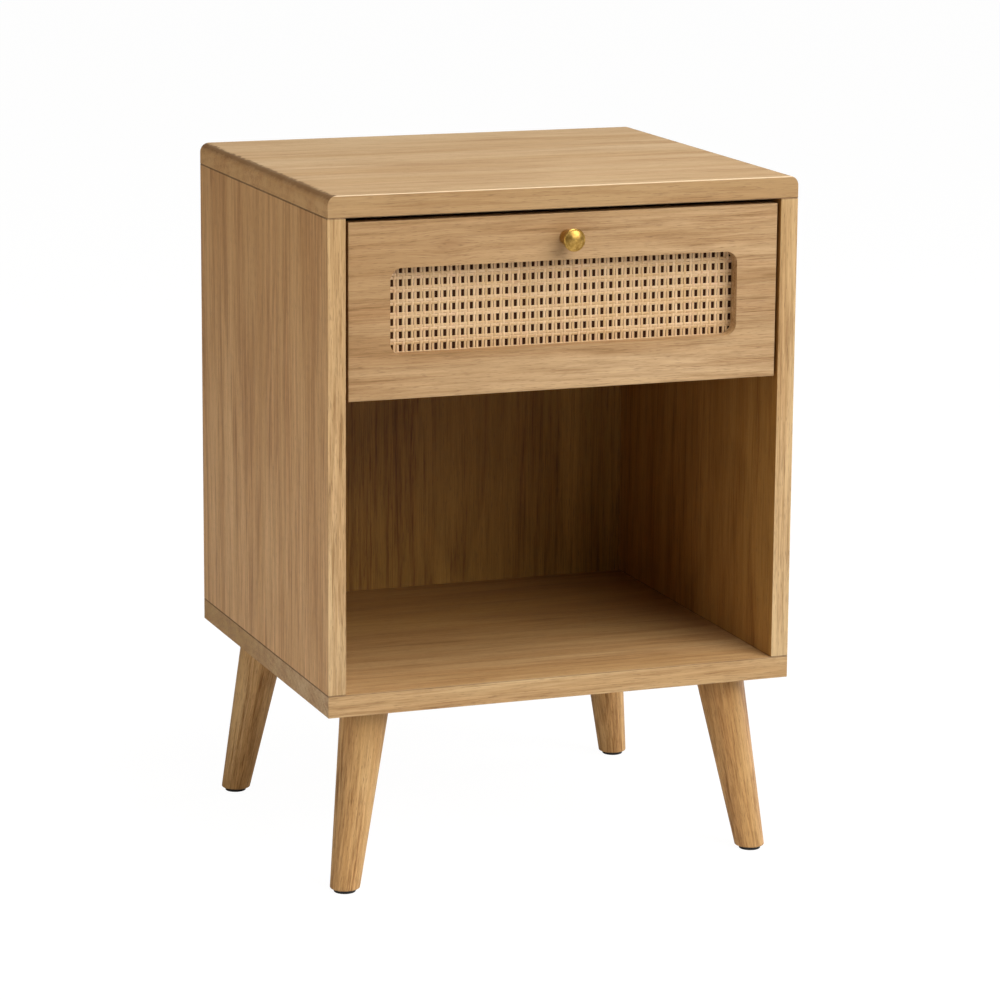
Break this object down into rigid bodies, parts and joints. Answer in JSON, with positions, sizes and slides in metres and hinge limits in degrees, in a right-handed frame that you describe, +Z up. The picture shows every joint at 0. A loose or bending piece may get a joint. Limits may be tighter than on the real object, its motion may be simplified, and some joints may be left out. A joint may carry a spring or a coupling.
{
  "type": "nightstand with drawer",
  "caption": "Oak nightstand on splayed turned legs, with a cane-fronted drawer on telescopic runners above an open compartment.",
  "frame": {"origin": "on the floor, at the middle of the whole table's plan, knob included", "axes": "+X to the right as seen from the front, +Y to the back, +Z up"},
  "size_m": [0.4, 0.3676, 0.57],
  "materials": {
    "oak_boards": "light oak, matt lacquer",
    "oak_legs": "turned oak, matt lacquer",
    "back_board": "oak-veneered thin board",
    "drawer_wood": "pale plywood, thin lacquer",
    "dowel_wood": "plain beech",
    "cane": "woven natural cane, slight sheen",
    "brass": "satin brass",
    "zinc_steel": "zinc-plated steel",
    "rail_steel": "zinc-plated sheet steel",
    "ball_steel": "polished steel balls",
    "pad_plastic": "black moulded plastic"
  },
  "bodies": {
    "case": {"back_left_foot_pad": "pad_plastic", "back_left_leg": "oak_legs", "back_left_leg_plate": "zinc_steel", "back_panel": "back_board", "back_right_foot_pad": "pad_plastic", "back_right_leg": "oak_legs", "back_right_leg_plate": "zinc_steel", "bottom_panel": "oak_boards", "case_dowels": "dowel_wood", "case_rail_screws": "zinc_steel", "foot_pad_screws": "zinc_steel", "front_left_foot_pad": "pad_plastic", "front_left_leg": "oak_legs", "front_left_leg_plate": "zinc_steel", "front_right_foot_pad": "pad_plastic", "front_right_leg": "oak_legs", "front_right_leg_plate": "zinc_steel", "left_case_rail": "rail_steel", "left_side_panel": "oak_boards", "leg_hanger_bolts": "zinc_steel", "leg_plate_screws": "zinc_steel", "right_case_rail": "rail_steel", "right_side_panel": "oak_boards", "top_panel": "oak_boards"},
    "drawer": {"drawer_front": "oak_boards", "cane_panel": "cane", "cane_bead_brads": "zinc_steel", "cane_bead_top": "drawer_wood", "cane_bead_bottom": "drawer_wood", "cane_bead_left": "drawer_wood", "cane_bead_right": "drawer_wood", "drawer_left_side": "drawer_wood", "drawer_right_side": "drawer_wood", "drawer_back": "drawer_wood", "drawer_bottom": "drawer_wood", "drawer_dowels": "dowel_wood", "knob": "brass", "knob_washer": "zinc_steel", "knob_screw": "zinc_steel", "left_drawer_rail": "rail_steel", "right_drawer_rail": "rail_steel", "drawer_rail_screws": "zinc_steel"},
    "left_middle_rail": {"left_middle_rail": "rail_steel"},
    "left_outer_cage": {"left_outer_ball_cage": "rail_steel", "left_outer_balls": "ball_steel"},
    "left_inner_cage": {"left_inner_ball_cage": "rail_steel", "left_inner_balls": "ball_steel"},
    "right_middle_rail": {"right_middle_rail": "rail_steel"},
    "right_outer_cage": {"right_outer_ball_cage": "rail_steel", "right_outer_balls": "ball_steel"},
    "right_inner_cage": {"right_inner_ball_cage": "rail_steel", "right_inner_balls": "ball_steel"}
  },
  "joints": [
    {"name": "drawer_slide", "type": "slide", "parent": "case", "child": "drawer", "axis": [0, -1, 0], "range_m": [0, 0.28]},
    {"name": "left_middle_rail_slide", "type": "slide", "parent": "case", "child": "left_middle_rail", "axis": [0, -1, 0], "range_m": [0, 0.14]},
    {"name": "left_outer_cage_slide", "type": "slide", "parent": "case", "child": "left_outer_cage", "axis": [0, -1, 0], "range_m": [0, 0.07]},
    {"name": "left_inner_cage_slide", "type": "slide", "parent": "left_middle_rail", "child": "left_inner_cage", "axis": [0, -1, 0], "range_m": [0, 0.07]},
    {"name": "right_middle_rail_slide", "type": "slide", "parent": "case", "child": "right_middle_rail", "axis": [0, -1, 0], "range_m": [0, 0.14]},
    {"name": "right_outer_cage_slide", "type": "slide", "parent": "case", "child": "right_outer_cage", "axis": [0, -1, 0], "range_m": [0, 0.07]},
    {"name": "right_inner_cage_slide", "type": "slide", "parent": "right_middle_rail", "child": "right_inner_cage", "axis": [0, -1, 0], "range_m": [0, 0.07]}
  ],
  "couplings": [
    {"joint": "left_middle_rail_slide", "follows": "drawer_slide", "ratio": 0.5},
    {"joint": "left_outer_cage_slide", "follows": "drawer_slide", "ratio": 0.25},
    {"joint": "left_inner_cage_slide", "follows": "drawer_slide", "ratio": 0.25},
    {"joint": "right_middle_rail_slide", "follows": "drawer_slide", "ratio": 0.5},
    {"joint": "right_outer_cage_slide", "follows": "drawer_slide", "ratio": 0.25},
    {"joint": "right_inner_cage_slide", "follows": "drawer_slide", "ratio": 0.25}
  ]
}
